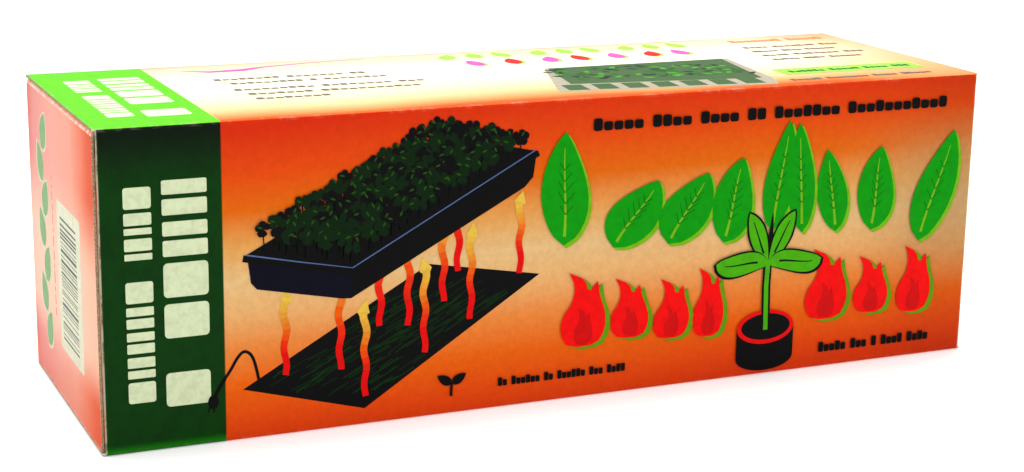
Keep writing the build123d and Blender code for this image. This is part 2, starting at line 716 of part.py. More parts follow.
export_step(front_panel.part, "parts/front_panel.step")
export_step(back_panel.part, "parts/back_panel.step")
export_step(top_panel.part, "parts/top_panel.step")
export_step(bottom_panel.part, "parts/bottom_panel.step")
export_step(glue_flap.part, "parts/glue_flap.step")
export_step(left_closure.part, "parts/left_closure.step")
export_step(left_tuck_tongue.part, "parts/left_tuck_tongue.step")
export_step(left_front_dust_flap.part, "parts/left_front_dust_flap.step")
export_step(left_rear_dust_flap.part, "parts/left_rear_dust_flap.step")
export_step(right_closure.part, "parts/right_closure.step")
export_step(right_tuck_tongue.part, "parts/right_tuck_tongue.step")
export_step(right_front_dust_flap.part, "parts/right_front_dust_flap.step")
export_step(right_rear_dust_flap.part, "parts/right_rear_dust_flap.step")
export_step(mat_top_sheet.part, "parts/mat_top_sheet.step")
export_step(mat_bottom_sheet.part, "parts/mat_bottom_sheet.step")
export_step(heat_spreader_foil.part, "parts/heat_spreader_foil.step")
export_step(wire_carrier_scrim.part, "parts/wire_carrier_scrim.step")
export_step(edge_weld.part, "parts/edge_weld.step")
export_step(heater_wire.part, "parts/heater_wire.step")
export_step(junction_block_base.part, "parts/junction_block_base.step")
export_step(junction_block_cover.part, "parts/junction_block_cover.step")
export_step(crimp_sleeves.part, "parts/crimp_sleeves.step")
export_step(strain_relief.part, "parts/strain_relief.step")
export_step(cord_lead.part, "parts/cord_lead.step")
export_step(cord_hank.part, "parts/cord_hank.step")
export_step(hank_tie.part, "parts/hank_tie.step")
export_step(plug_lead.part, "parts/plug_lead.step")
export_step(plug_body.part, "parts/plug_body.step")
export_step(plug_blades.part, "parts/plug_blades.step")
export_step(plug_earth_pin.part, "parts/plug_earth_pin.step")
export_step(cord_tag.part, "parts/cord_tag.step")
export_step(roll_band_left.part, "parts/roll_band_left.step")
export_step(roll_band_right.part, "parts/roll_band_right.step")
export_step(leaflet.part, "parts/leaflet.step")
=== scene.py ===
import math
import random

import bmesh
import bpy
from mathutils import Matrix, Vector


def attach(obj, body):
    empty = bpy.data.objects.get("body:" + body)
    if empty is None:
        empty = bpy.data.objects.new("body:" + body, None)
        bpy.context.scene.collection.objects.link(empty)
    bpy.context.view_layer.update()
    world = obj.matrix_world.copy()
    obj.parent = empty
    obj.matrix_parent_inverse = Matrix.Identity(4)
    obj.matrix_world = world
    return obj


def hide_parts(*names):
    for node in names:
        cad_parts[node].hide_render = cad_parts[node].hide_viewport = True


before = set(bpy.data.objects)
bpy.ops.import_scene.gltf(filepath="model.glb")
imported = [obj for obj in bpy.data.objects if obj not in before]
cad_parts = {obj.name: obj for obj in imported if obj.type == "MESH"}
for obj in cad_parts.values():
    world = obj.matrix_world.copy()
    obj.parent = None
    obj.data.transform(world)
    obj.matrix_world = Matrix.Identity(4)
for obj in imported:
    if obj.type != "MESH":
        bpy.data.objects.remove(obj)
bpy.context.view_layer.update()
random.seed(7)
MM = 0.001

# Carton: outside sizes, in millimetres, as the CAD part has them.
L, D, H, T = 275.0, 90.0, 89.0, 0.7
XE = L / 2 - T - 0.15
ZC = 31.45            # height of the roll's axis
X0, XR = -135.0, 93.6  # ends of the roll


def lin(r, g, b):
    """A printed colour, 0 to 255, as linear light."""
    out = []
    for c in (r, g, b):
        c = c / 255.0
        out.append(c / 12.92 if c <= 0.04045 else ((c + 0.055) / 1.055) ** 2.4)
    return (*out, 1.0)


def ink_rgb(r, g, b, gain=1.18, veil=0.010):
    """Ink that reads as the given 0 to 255 colour on a face lit with this gain."""
    c = lin(r, g, b)
    return tuple(min(0.92, max(0.0012, v / gain - veil)) for v in c[:3]) + (1.0,)


# ------------------------------------------------------------------ camera
def aim_camera():
    az, el, roll = math.radians(CAM["az"]), math.radians(CAM["el"]), math.radians(CAM["roll"])
    fwd = Vector((math.sin(az) * math.cos(el), math.cos(az) * math.cos(el), -math.sin(el)))
    right = fwd.cross(Vector((0, 0, 1))).normalized()
    down = fwd.cross(right)
    c, s = math.cos(roll), math.sin(roll)
    r2 = right * c + down * s
    d2 = down * c - right * s
    data = bpy.data.cameras.new("camera")
    data.sensor_width = 36.0
    data.lens = CAM["f"] / 1024.0 * 36.0
    data.clip_start = 0.01
    obj = bpy.data.objects.new("camera", data)
    bpy.context.scene.collection.objects.link(obj)
    m = Matrix((r2, -d2, -fwd)).transposed().to_4x4()
    m.translation = Vector(
        (-L / 2 * MM + CAM["c"][0] * H * MM, -D / 2 * MM + CAM["c"][1] * H * MM, CAM["c"][2] * H * MM)
    )
    obj.matrix_world = m
    bpy.context.scene.camera = obj


CAM = {"az": 23.883, "el": 14.015, "roll": -0.898, "f": 2026.0, "c": (-1.2052, -5.7164, 2.1296)}
aim_camera()


# ------------------------------------------------------------------ materials
class Nodes:
    """A few short ways to build a node tree."""

    def __init__(self, name):
        self.mat = bpy.data.materials.new(name)
        self.mat.use_nodes = True
        self.t = self.mat.node_tree
        self.t.nodes.clear()
        self.out = self.t.nodes.new("ShaderNodeOutputMaterial")
        self.bsdf = self.t.nodes.new("ShaderNodeBsdfPrincipled")
        self.t.links.new(self.bsdf.outputs[0], self.out.inputs[0])
        self.tc = self.t.nodes.new("ShaderNodeTexCoord")
        self.xyz = None

    def link(self, a, b):
        self.t.links.new(a, b)

    def set(self, **kw):
        for k, v in kw.items():
            self.bsdf.inputs[k.replace("_", " ")].default_value = v
        return self

    def pos(self, axis):
        if self.xyz is None:
            self.xyz = self.t.nodes.new("ShaderNodeSeparateXYZ")
            self.link(self.tc.outputs["Object"], self.xyz.inputs[0])
        return self.xyz.outputs[axis]

    def normal_dot(self, v):
        n = self.t.nodes.new("ShaderNodeVectorMath")
        n.operation = "DOT_PRODUCT"
        self.link(self.tc.outputs["Normal"], n.inputs[0])
        n.inputs[1].default_value = v
        return n.outputs["Value"]

    def math(self, op, a, b=0.0, c=0.0, clamp=False):
        n = self.t.nodes.new("ShaderNodeMath")
        n.operation = op
        n.use_clamp = clamp
        for i, v in enumerate((a, b, c)):
            if isinstance(v, (int, float)):
                n.inputs[i].default_value = v
            else:
                self.link(v, n.inputs[i])
        return n.outputs[0]

    def step(self, v, lo, hi):
        """0 below lo, 1 above hi, smooth between. hi may be below lo."""
        n = self.t.nodes.new("ShaderNodeMapRange")
        n.interpolation_type = "SMOOTHSTEP"
        self.link(v, n.inputs["Value"])
        if hi >= lo:
            n.inputs["From Min"].default_value = lo
            n.inputs["From Max"].default_value = hi
            n.inputs["To Min"].default_value = 0.0
            n.inputs["To Max"].default_value = 1.0
        else:
            n.inputs["From Min"].default_value = hi
            n.inputs["From Max"].default_value = lo
            n.inputs["To Min"].default_value = 1.0
            n.inputs["To Max"].default_value = 0.0
        return n.outputs["Result"]

    def noise(self, scale, detail=2.0, rough=0.5, stretch=None):
        n = self.t.nodes.new("ShaderNodeTexNoise")
        n.inputs["Scale"].default_value = scale
        n.inputs["Detail"].default_value = detail
        n.inputs["Roughness"].default_value = rough
        if stretch:
            m = self.t.nodes.new("ShaderNodeMapping")
            m.inputs["Scale"].default_value = stretch
            self.link(self.tc.outputs["Object"], m.inputs["Vector"])
            self.link(m.outputs[0], n.inputs["Vector"])
        else:
            self.link(self.tc.outputs["Object"], n.inputs["Vector"])
        return n.outputs["Fac"]

    def ramp(self, v, stops):
        n = self.t.nodes.new("ShaderNodeValToRGB")
        self.link(v, n.inputs["Fac"])
        e = n.color_ramp.elements
        while len(e) > 1:
            e.remove(e[-1])
        e[0].position, e[0].color = stops[0]
        for p, c in stops[1:]:
            x = e.new(p)
            x.color = c
        return n.outputs["Color"]

    def mix(self, fac, a, b, mode="MIX"):
        n = self.t.nodes.new("ShaderNodeMix")
        n.data_type = "RGBA"
        n.blend_type = mode
        for i, v in ((0, fac), (6, a), (7, b)):
            if isinstance(v, (int, float, tuple)):
                n.inputs[i].default_value = v
            else:
                self.link(v, n.inputs[i])
        return n.outputs[2]

    def color(self, v):
        self.link(v, self.bsdf.inputs["Base Color"])
        return self

    def bump(self, height, strength, distance, under=None):
        n = self.t.nodes.new("ShaderNodeBump")
        n.inputs["Strength"].default_value = strength
        n.inputs["Distance"].default_value = distance
        self.link(height, n.inputs["Height"])
        if under is not None:
            self.link(under, n.inputs["Normal"])
        self.link(n.outputs[0], self.bsdf.inputs["Normal"])
        return n.outputs[0]


GREEN_DARK = ink_rgb(22, 62, 6)
GREEN_TOP = lin(96, 190, 24)
BOARD_IN = lin(206, 199, 184)
BOARD_EDGE = lin(166, 148, 118)


def finish_board(n, printed, outward, wear):
    """Puts the printed colour on the outer face, plain board inside and on the cut
    edges, with a worn white line where wear is high."""
    out = n.step(n.normal_dot(outward), 0.45, 0.6)
    inner = n.step(n.normal_dot(tuple(-c for c in outward)), 0.45, 0.6)
    fibre = n.noise(900, 5, 0.65)
    plain = n.mix(n.math("MULTIPLY", n.step(fibre, 0.42, 0.64), 0.35), BOARD_IN, lin(150, 141, 122))
    edge = n.mix(n.step(n.noise(2500, 2, 0.5, (1, 1, 1)), 0.4, 0.6), BOARD_EDGE, lin(128, 110, 84))
    base = n.mix(inner, edge, plain)
    col = n.mix(out, base, printed)
    if wear is not None:
        col = n.mix(n.math("MULTIPLY", wear, out), col, lin(238, 226, 196))
    n.color(col)
    # varnish on the print only
    n.link(n.math("MULTIPLY", out, 0.045), n.bsdf.inputs["Coat Weight"])
    n.set(Coat_Roughness=0.14, Coat_IOR=1.5)
    rough = n.math("MULTIPLY_ADD", out, -0.36, 0.88)
    scuff = n.math("MULTIPLY", n.step(n.noise(60, 4, 0.7), 0.5, 0.75), 0.12)
    n.link(n.math("ADD", rough, scuff), n.bsdf.inputs["Roughness"])
    n.set(Specular_IOR_Level=0.03)
    # board grain, and the slight wave of a filled carton
    fine = n.bump(n.noise(1600, 3, 0.6, (1, 1, 1)), 0.22, 0.00006)
    n.bump(n.noise(16, 1, 0.4), 0.35, 0.0016, fine)


def halftone(n, col, amount=0.12):
    """The slightly mottled lay of the ink."""
    m = n.step(n.noise(420, 3, 0.7), 0.3, 0.7)
    return n.mix(n.math("MULTIPLY", m, amount), col, lin(120, 30, 0), "MULTIPLY")


FRONT_STOPS = [
    (0.00, ink_rgb(212, 62, 2)),
    (0.08, ink_rgb(222, 76, 4)),
    (0.20, ink_rgb(228, 100, 22)),
    (0.31, ink_rgb(228, 134, 64)),
    (0.42, ink_rgb(226, 172, 110)),
    (0.52, ink_rgb(222, 184, 128)),
    (0.62, ink_rgb(220, 160, 88)),
    (0.74, ink_rgb(218, 104, 30)),
    (0.86, ink_rgb(220, 76, 6)),
    (1.00, ink_rgb(208, 52, 1)),
]


def front_material(name, sign):
    """Front (sign -1) and back (sign +1) panels."""
    n = Nodes(name)
    z = n.math("DIVIDE", n.pos("Z"), H * MM)
    drift = n.math("MULTIPLY_ADD", n.noise(9, 1, 0.3), 0.10, -0.05)
    # u runs 0 to 1 from the left of the printed face
    u = n.math("MULTIPLY_ADD", n.pos("X"), -sign / (L * MM), 0.5)
    lift = n.math("MULTIPLY", n.math("SUBTRACT", u, 0.45), 0.10)
    grad = n.ramp(n.math("SUBTRACT", n.math("ADD", z, drift), lift), FRONT_STOPS)
    grad = n.mix(n.math("MULTIPLY", n.step(u, 0.84, 1.0), 0.32), grad, lin(176, 150, 128), "MULTIPLY")
    middle = n.math("MULTIPLY", n.step(z, 0.22, 0.45), n.step(z, 0.92, 0.66))
    dull = n.math("MULTIPLY", n.math("MULTIPLY", n.step(u, 0.80, 1.0), middle), 0.60)
    grad = n.mix(dull, grad, ink_rgb(184, 146, 98))
    grad = halftone(n, grad)
    green = n.mix(n.math("MULTIPLY", n.step(n.noise(300, 3, 0.6), 0.35, 0.7), 0.4), GREEN_DARK, ink_rgb(12, 44, 4))
    green = n.mix(n.math("MULTIPLY", n.step(z, 0.80, 1.0), 0.85), green, ink_rgb(10, 22, 14))
    # painted highlight: a bright green strip along the bottom crease of the band, where the rounded fold catches
    # light
    green = n.mix(n.math("MULTIPLY", n.step(z, 0.035, 0.0), 0.8), green, ink_rgb(40, 130, 20))
    band = n.step(u, 34.1 / L, 33.7 / L)
    col = n.mix(band, grad, green)
    near_top = n.step(n.pos("Z"), (H - 1.3) * MM, (H - 0.55) * MM)
    near_bot = n.step(n.pos("Z"), 1.2 * MM, 0.4 * MM)
    side = n.step(n.math("ABSOLUTE", n.pos("X")), (XE - 0.5) * MM, (XE - 0.05) * MM)
    worn = n.step(n.noise(220, 5, 0.75), 0.47, 0.64)
    worn_side = n.step(n.noise(160, 5, 0.75), 0.36, 0.54)
    wear = n.math("MULTIPLY", n.math("MAXIMUM", near_top, near_bot), n.math("MULTIPLY", worn, 0.05))
    wear = n.math("MAXIMUM", wear, n.math("MULTIPLY", side, n.math("MULTIPLY_ADD", worn_side, 0.35, 0.12)))
    finish_board(n, col, (0, sign, 0), wear)
    return n.mat


def top_material():
    n = Nodes("board_print_top")
    y = n.math("MULTIPLY_ADD", n.pos("Y"), 1 / (D * MM), 0.5)
    x = n.math("MULTIPLY_ADD", n.pos("X"), 1 / (L * MM), 0.5)
    drift = n.math("MULTIPLY_ADD", n.noise(14, 2, 0.4), 0.16, -0.08)
    grad = n.ramp(
        n.math("ADD", y, drift),
        [
            (0.00, lin(232, 84, 24)),
            (0.05, lin(240, 138, 74)),
            (0.14, lin(246, 184, 128)),
            (0.30, lin(250, 226, 176)),
            (0.55, lin(244, 240, 208)),
            (0.78, lin(250, 226, 190)),
            (0.94, lin(246, 190, 160)),
            (1.00, lin(236, 140, 100)),
        ],
    )
    right = n.step(n.math("ADD", x, n.math("MULTIPLY", y, -0.06)), 0.80, 0.99)
    grad = n.mix(n.math("MULTIPLY", right, 0.75), grad, lin(240, 150, 96))
    green = n.mix(n.math("MULTIPLY", n.step(n.noise(300, 3, 0.6), 0.35, 0.7), 0.2), GREEN_TOP, lin(50, 180, 26))
    band = n.step(x, 34.1 / L, 33.7 / L)
    col = n.mix(band, halftone(n, grad, 0.05), green)
    e = n.math("SUBTRACT", D / 2 * MM, n.math("ABSOLUTE", n.pos("Y")))
    near = n.step(e, 1.3 * MM, 0.5 * MM)
    ends = n.step(n.math("ABSOLUTE", n.pos("X")), (L / 2 - 0.9) * MM, (L / 2 - 0.2) * MM)
    worn = n.step(n.noise(220, 5, 0.75), 0.47, 0.64)
    wear = n.math("MULTIPLY", n.math("MAXIMUM", near, ends), n.math("MULTIPLY", worn, 0.16))
    finish_board(n, col, (0, 0, 1), wear)
    return n.mat


def bottom_material():
    n = Nodes("board_print_bottom")
    x = n.math("MULTIPLY_ADD", n.pos("X"), 1 / (L * MM), 0.5)
    y = n.math("MULTIPLY_ADD", n.pos("Y"), 1 / (D * MM), 0.5)
    grad = n.ramp(y, [(0.0, lin(226, 62, 6)), (0.2, lin(240, 150, 90)), (0.5, lin(246, 210, 160)), (0.8, lin(240, 150, 90)), (1.0, lin(226, 62, 6))])
    # lines of greeked print
    row = n.math("FRACT", n.math("MULTIPLY", y, 16.0))
    ink = n.math("MULTIPLY", n.step(row, 0.42, 0.46), n.step(row, 0.72, 0.68))
    words = n.step(n.noise(180, 1, 0.2, (1.0, 6.0, 1.0)), 0.40, 0.42)
    area = n.math("MULTIPLY", n.math("MULTIPLY", n.step(x, 0.2, 0.205), n.step(x, 0.94, 0.935)), n.math("MULTIPLY", n.step(y, 0.12, 0.125), n.step(y, 0.86, 0.855)))
    col = n.mix(n.math("MULTIPLY", n.math("MULTIPLY", ink, words), area), grad, lin(40, 20, 14))
    col = n.mix(n.step(x, 34.1 / L, 33.7 / L), col, GREEN_DARK)
    finish_board(n, col, (0, 0, -1), None)
    return n.mat


def end_material(name, sign, outward):
    """Closures and dust flaps at one end. Pink to orange, stronger by the front edge."""
    n = Nodes(name)
    y = n.math("MULTIPLY_ADD", n.pos("Y"), 1 / (D * MM), 0.5)
    drift = n.math("MULTIPLY_ADD", n.noise(14, 2, 0.4), 0.16, -0.08)
    grad = n.ramp(
        n.math("ADD", y, drift),
        [
            (0.00, lin(200, 62, 14)),
            (0.09, lin(206, 74, 24)),
            (0.17, lin(214, 106, 72)),
            (0.34, lin(220, 146, 124)),
            (0.60, lin(220, 150, 134)),
            (0.90, lin(212, 132, 124)),
            (1.00, lin(204, 96, 84)),
        ],
    )
    z = n.math("DIVIDE", n.pos("Z"), H * MM)
    # painted highlight: a pale band across the middle height of the closures and dust flaps
    grad = n.mix(n.math("MULTIPLY", n.math("MULTIPLY", n.step(z, 0.80, 0.5), n.step(z, 0.12, 0.3)), 0.62), grad, lin(232, 204, 176))
    grad = n.mix(n.math("MULTIPLY", n.step(z, 0.22, 0.0), 0.34), grad, lin(214, 92, 56))
    e = n.math("SUBTRACT", (D / 2 - 1.3) * MM, n.math("ABSOLUTE", n.pos("Y")))
    worn = n.step(n.noise(260, 5, 0.75), 0.42, 0.6)
    near = n.math("MAXIMUM", n.step(e, 0.7 * MM, 0.1 * MM), n.math("MAXIMUM", n.step(n.pos("Z"), 2.0 * MM, 1.0 * MM), n.step(n.pos("Z"), (H - 2.2) * MM, (H - 1.2) * MM)))
    wear = n.math("MULTIPLY", near, n.math("MULTIPLY", worn, 0.28))
    finish_board(n, grad, outward, wear)
    return n.mat


def tongue_material(name, sign):
    """A tuck tongue: printed on the outside of its fold and on the bowed panel."""
    n = Nodes(name)
    y = n.math("MULTIPLY_ADD", n.pos("Y"), 1 / (D * MM), 0.5)
    grad = n.ramp(y, [(0.0, lin(235, 84, 30)), (0.3, lin(242, 142, 112)), (0.9, lin(240, 150, 140)), (1.0, lin(232, 110, 84))])
    up = (0, 0, 1) if sign < 0 else (0, 0, -1)
    outer = n.math("MAXIMUM", n.normal_dot((sign, 0, 0)), n.normal_dot(up))
    out = n.step(outer, 0.45, 0.6)
    inner = n.step(n.math("MAXIMUM", n.normal_dot((-sign, 0, 0)), n.normal_dot(tuple(-c for c in up))), 0.9, 0.97)
    fibre = n.noise(900, 5, 0.65)
    plain = n.mix(n.math("MULTIPLY", n.step(fibre, 0.42, 0.64), 0.35), BOARD_IN, lin(150, 141, 122))
    x = n.math("ABSOLUTE", n.pos("X"))
    fold = n.math("MULTIPLY", n.step(x, (L / 2 - 1.6) * MM, (L / 2 - 0.8) * MM), n.step(n.noise(240, 5, 0.75), 0.4, 0.58))
    col = n.mix(out, n.mix(inner, BOARD_EDGE, plain), n.mix(n.math("MULTIPLY", fold, 0.7), grad, lin(238, 226, 196)))
    n.color(col)
    n.set(Roughness=0.55, Specular_IOR_Level=0.4)
    n.bump(n.noise(1600, 3, 0.6), 0.22, 0.00006)
    return n.mat


def ink(name, rgb, rough=0.42):
    n = Nodes("ink_" + name)
    m = n.step(n.noise(380, 3, 0.7), 0.35, 0.7)
    dark = tuple(c * 0.72 for c in rgb[:3]) + (1.0,)
    n.color(n.mix(n.math("MULTIPLY", m, 0.55), rgb, dark))
    n.set(Roughness=rough, Coat_Weight=0.045, Coat_Roughness=0.14, Specular_IOR_Level=0.03)
    fine = n.bump(n.noise(1600, 3, 0.6), 0.2, 0.00005)
    n.bump(n.noise(16, 1, 0.4), 0.35, 0.0016, fine)
    return n.mat


INKS = {
    "white": ink_rgb(208, 218, 178),
    "white_top": lin(214, 236, 190),
    "black": ink_rgb(16, 10, 12),
    "tray": ink_rgb(14, 16, 26),
    "tray_side": ink_rgb(20, 27, 38),
    "tray_light": ink_rgb(86, 104, 150),
    "leaf_dark": ink_rgb(12, 26, 10),
    "leaf_mid": ink_rgb(22, 44, 14),
    "leaf_light": ink_rgb(44, 78, 16),
    "mat_black": ink_rgb(12, 14, 13),
    "mat_green": ink_rgb(26, 56, 14),
    "title_green": ink_rgb(20, 150, 6),
    "title_deep": ink_rgb(12, 116, 6),
    "title_shade": ink_rgb(120, 176, 36),
    "red": ink_rgb(240, 22, 4),
    "red_deep": ink_rgb(206, 8, 2),
    "shade_green": ink_rgb(100, 150, 30),
    "heat0": ink_rgb(222, 24, 8),
    "heat1": ink_rgb(228, 52, 14),
    "heat2": ink_rgb(230, 92, 24),
    "heat3": ink_rgb(226, 136, 48),
    "heat4": ink_rgb(222, 166, 62),
    "heat5": ink_rgb(224, 186, 74),
    "plant": ink_rgb(76, 170, 18),
    "plant_vein": ink_rgb(12, 40, 8),
    "pot": ink_rgb(16, 8, 14),
    "pot_rim": ink_rgb(230, 26, 12),
    "soil": ink_rgb(16, 4, 12),
    "magenta": lin(214, 84, 172),
    "pale_green": lin(156, 222, 78),
    "grey_print": lin(112, 100, 84),
    "faint": lin(206, 128, 108),
    "grass": lin(58, 92, 44),
    "stone": lin(170, 160, 140),
    "orange_line": lin(226, 140, 84),
    "label": lin(206, 206, 178),
    "label_ink": lin(70, 84, 76),
    "end_green": lin(112, 156, 96),
    "end_pale": lin(206, 196, 164),
}
for _k in range(5):
    INKS["heat%da" % _k] = tuple((a + b) / 2 for a, b in zip(INKS["heat%d" % _k], INKS["heat%d" % (_k + 1)]))
ink_mats = {k: ink(k, v) for k, v in INKS.items()}


# ------------------------------------------------------------------ printed artwork
class Art:
    """Flat shapes of ink on one panel. place(x, y, up) puts a point of the panel, in
    millimetres, in the row's frame, up from the board."""

    def __init__(self, name, place, outward, body):
        self.name, self.place, self.outward, self.body = name, place, Vector(outward), body
        self.bm = bmesh.new()
        self.slots = []
        self.level = 1
        self.count = 0

    def poly(self, pts, color, level=None):
        self.count += 1
        up = 0.014 * (level if level is not None else self.level) + 0.00025 * self.count
        if color not in self.slots:
            self.slots.append(color)
        vs = [self.bm.verts.new(self.place(x, y, up)) for x, y in pts]
        f = self.bm.faces.new(vs)
        f.normal_update()
        if f.normal.dot(self.outward) < 0:
            f.normal_flip()
        f.material_index = self.slots.index(color)

    def bar(self, x, y, w, h, color, level=None, r=0.35):
        """A rounded bar."""
        r = min(r * h if h < w else r * w, w / 2, h / 2)
        pts = []
        for cx, cy, a0 in ((x + w - r, y + h - r, 0), (x + r, y + h - r, 90), (x + r, y + r, 180), (x + w - r, y + r, 270)):
            for k in range(4):
                a = math.radians(a0 + k * 30)
                pts.append((cx + r * math.cos(a), cy + r * math.sin(a)))
        self.poly(pts, color, level)

    def strip(self, line, widths, color, level=None):
        """A stroke along a line, with a width at each point. color may be a list with
        one ink for each step."""
        left, right = [], []
        n = len(line)
        for i, (x, y) in enumerate(line):
            x0, y0 = line[max(0, i - 1)]
            x1, y1 = line[min(n - 1, i + 1)]
            dx, dy = x1 - x0, y1 - y0
            d = math.hypot(dx, dy) or 1
            w = widths[i] if isinstance(widths, (list, tuple)) else widths
            left.append((x - dy / d * w / 2, y + dx / d * w / 2))
            right.append((x + dy / d * w / 2, y - dx / d * w / 2))
        for i in range(n - 1):
            self.poly([left[i], left[i + 1], right[i + 1], right[i]], color[i] if isinstance(color, list) else color, level)

    def done(self):
        bmesh.ops.triangulate(self.bm, faces=self.bm.faces[:], ngon_method="EAR_CLIP")
        me = bpy.data.meshes.new(self.name)
        self.bm.to_mesh(me)
        self.bm.free()
        for s in self.slots:
            me.materials.append(ink_mats[s])
        o = bpy.data.objects.new(self.name, me)
        bpy.context.scene.collection.objects.link(o)
        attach(o, self.body)
        return o


def leaf(cx, cy, length, width, ang, n=7, bend=0.0, skew=0.8, blunt=0.8):
    """A leaf outline from its foot at (cx, cy), pointing at ang degrees."""
    a = math.radians(ang)
    ux, uy = math.cos(a), math.sin(a)
    top, bot = [], []
    for i in range(n + 1):
        t = i / n
        w = width / 2 * math.sin(math.pi * t**skew) ** blunt if 0 < t < 1 else 0
        off = bend * length * math.sin(math.pi * t * 0.5) ** 2
        x, y = t * length, off
        top.append((x, y + w))
        bot.append((x, y - w))
    pts = top + bot[-2:0:-1]
    return [(cx + x * ux - y * uy, cy + x * uy + y * ux) for x, y in pts]


def midline(cx, cy, length, ang, n=7, bend=0.0, t0=0.08, t1=0.86):
    a = math.radians(ang)
    ux, uy = math.cos(a), math.sin(a)
    out = []
    for i in range(n + 1):
        t = t0 + (t1 - t0) * i / n
        off = bend * length * math.sin(math.pi * t * 0.5) ** 2
        x, y = t * length, off
        out.append((cx + x * ux - y * uy, cy + x * uy + y * ux))
    return out


def ellipse(cx, cy, rx, ry, a0=0, a1=360, n=28):
    full = abs(a1 - a0) >= 360
    m = n if full else n + 1
    return [
        (cx + rx * math.cos(math.radians(a0 + (a1 - a0) * i / n)), cy + ry * math.sin(math.radians(a0 + (a1 - a0) * i / n)))
        for i in range(m)
    ]


def smooth(pts, times=2):
    """Cuts the corners of an open line."""
    for _ in range(times):
        out = [pts[0]]
        for p, q in zip(pts, pts[1:]):
            out.append((0.75 * p[0] + 0.25 * q[0], 0.75 * p[1] + 0.25 * q[1]))
            out.append((0.25 * p[0] + 0.75 * q[0], 0.25 * p[1] + 0.75 * q[1]))
        pts = out + [pts[-1]]
    return pts


def greek(art, x0, x1, y, h, color, words, level=1, tilt=0.0):
    """A line of greeked print: a bar for each word, cut into letter-sized blocks."""
    total = sum(words) + (len(words) - 1) * 0.8
    unit = (x1 - x0) / total
    x = x0
    rnd = random.Random(int(x0 * 7 + y * 13))
    for w in words:
        n = max(1, int(round(w)))
        cell = w * unit / n
        for i in range(n):
            tall = h if i == 0 else h * (0.72 if rnd.random() < 0.7 else 0.95)
            art.bar(x + i * cell + cell * 0.07, y + tilt * (x - x0), cell * 0.86, tall, color, level, 0.25)
        x += (w + 0.8) * unit


